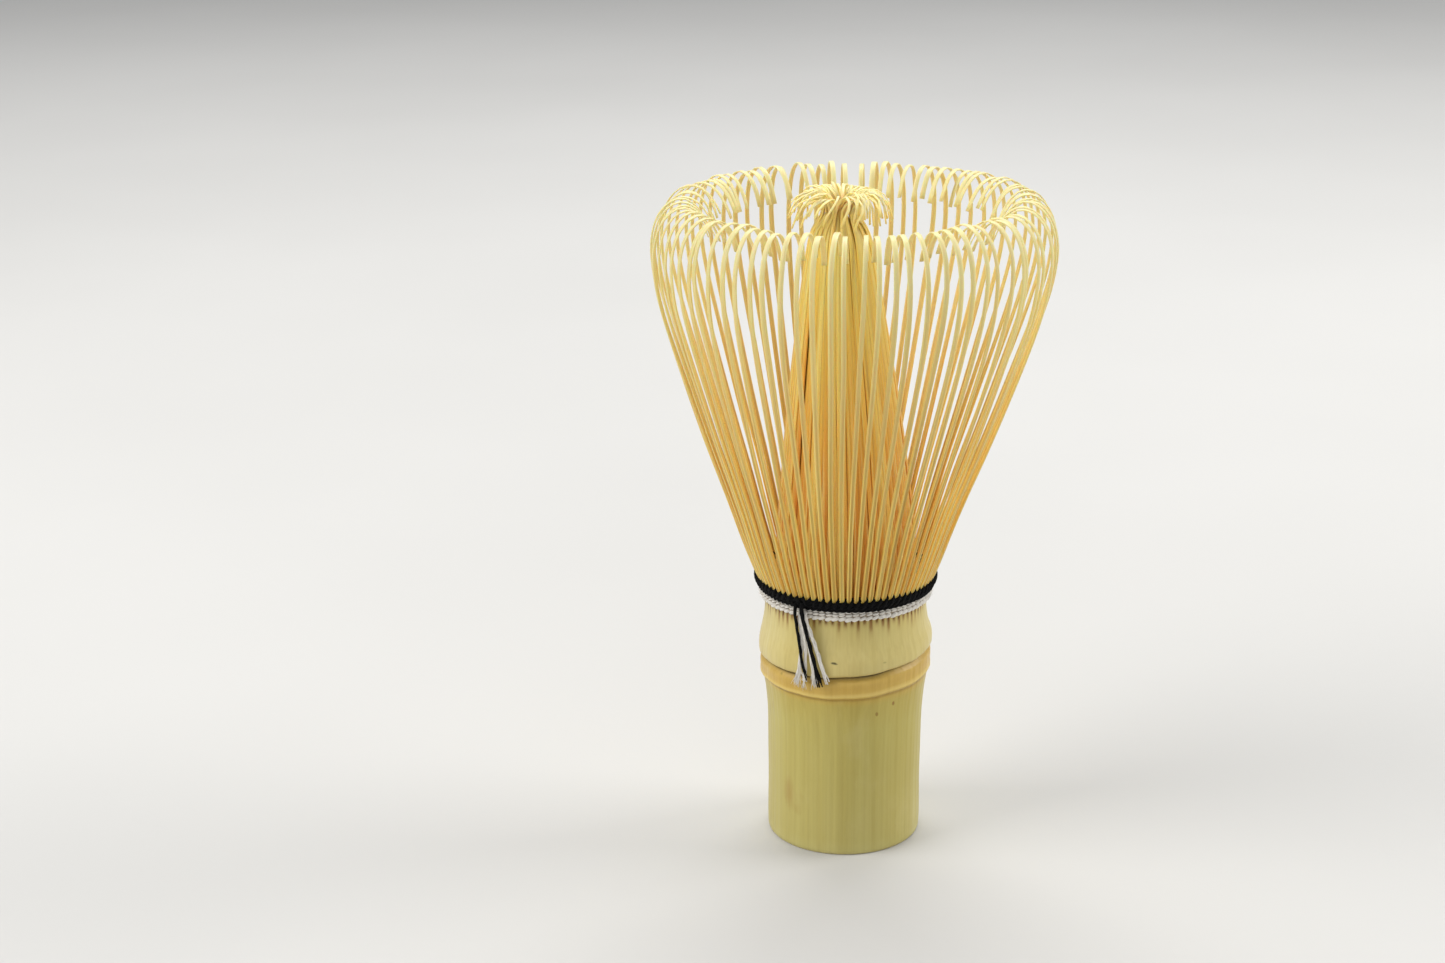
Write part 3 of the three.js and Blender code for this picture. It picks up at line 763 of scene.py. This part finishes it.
def build_knot():
    b = Builder()
    for q, (deg, z0, tilt) in enumerate([(-31.0, 45.5, 0.5), (-27.2, 45.7, -0.4), (-29.2, 45.1, 0.1)]):
        th = np.linspace(0, TAU, 28, endpoint=False)
        c = np.array(front(deg, 15.25, z0))
        er = unit(np.array([c[0], c[1], 0.0]))
        et = np.array([-er[1], er[0], 0.0])
        ring = c + et * (0.75 * np.cos(th))[:, None] + np.array([0, 0, 1.0]) * (0.42 * np.sin(th) + tilt * 0.3 * np.cos(th))[:, None] + er * (0.22 * np.sin(2 * th + q) + 0.08)[:, None]
        tube(b, ring, 0.24, 7, True, 300.0 + q, 0.5)
    return b.make("black_knot", BLACK)


knot = build_knot()
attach(knot, "grip")


# ---------------------------------------------------------------- bodies

for k, o in enumerate(outer_parts):
    n = f"{k + 1:02d}"
    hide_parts(f"outer_tines_{n}")
    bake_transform(o)
for k, o in enumerate(inner_parts):
    n = f"{k + 1:02d}"
    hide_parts(f"inner_tines_{n}")
    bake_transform(o)


# ---------------------------------------------------------------- stage, light, camera

def floor_material():
    m = Mat("pale_floor")
    p = m.obj()
    f = m.noise(m.scaled(p, 3, 3, 3), 1.0, 3.0, 0.5)
    c = m.mix(m.span(f, 0.3, 0.7), "C9C8C5", "CECDCA")
    return m.finish(c, m.span(m.noise(p, 40, 3.0), 0.3, 0.7, 0.72, 0.8, "LINEAR"), m.bump(m.noise(p, 900, 3.0), 0.05, 0.0003), **{"Specular IOR Level": 0.2})


me = bpy.data.meshes.new("floor")
me.from_pydata([(-3, -2, 0), (3, -2, 0), (3, 4, 0), (-3, 4, 0)], [], [(0, 1, 2, 3)])
me.materials.append(floor_material())
floor = bpy.data.objects.new("floor", me)
bpy.context.scene.collection.objects.link(floor)


def area_light(name, place, target, size, power, colour=(1, 1, 1)):
    d = bpy.data.lights.new(name, "AREA")
    d.shape = "RECTANGLE"
    d.size, d.size_y = size
    d.energy = power
    d.color = colour
    o = bpy.data.objects.new(name, d)
    bpy.context.scene.collection.objects.link(o)
    o.location = place
    aim = np.array(target) - np.array(place)
    from mathutils import Vector
    o.rotation_euler = Vector(aim).to_track_quat("-Z", "Y").to_euler()
    return o


area_light("key_left", (-0.75, -0.25, 0.75), (0, 0, 0.06), (0.6, 0.6), 6.6, (1.0, 0.985, 0.96))
area_light("side_right", (0.85, 0.15, 0.55), (0, 0, 0.05), (0.5, 0.6), 5.2, (1.0, 0.99, 0.97))
area_light("top_back", (0.0, 0.55, 0.95), (0, 0, 0.06), (0.9, 0.5), 7.6)
area_light("front_fill", (0.1, -1.1, 0.5), (0, 0, 0.05), (0.9, 0.6), 1.7)

world = bpy.data.worlds.new("studio")
world.use_nodes = True
world.node_tree.nodes["Background"].inputs[0].default_value = (0.86, 0.88, 0.92, 1)
world.node_tree.nodes["Background"].inputs[1].default_value = 0.36
bpy.context.scene.world = world
bpy.context.scene.view_settings.view_transform = "Standard"
bpy.context.scene.view_settings.look = "None"

from mathutils import Matrix, Vector

cam = bpy.data.cameras.new("camera")
cam.sensor_width = 36.0
cam.lens = 2500.0 * 36.0 / 1445.0
cam.clip_start = 0.01
camera = bpy.data.objects.new("camera", cam)
bpy.context.scene.collection.objects.link(camera)
yaw, pitch, roll = math.radians(-2.98), math.radians(18.51), math.radians(-0.75)
fh = Vector((math.sin(yaw), math.cos(yaw), 0))
forward = math.cos(pitch) * fh - math.sin(pitch) * Vector((0, 0, 1))
right = Vector((math.cos(yaw), -math.sin(yaw), 0))
up = math.sin(pitch) * fh + math.cos(pitch) * Vector((0, 0, 1))
r2 = math.cos(roll) * right + math.sin(roll) * up
u2 = math.cos(roll) * up - math.sin(roll) * right
m4 = Matrix((r2, u2, -forward)).transposed().to_4x4()
m4.translation = Vector((0, -0.39055, 0.1926))
camera.matrix_world = m4
bpy.context.scene.camera = camera
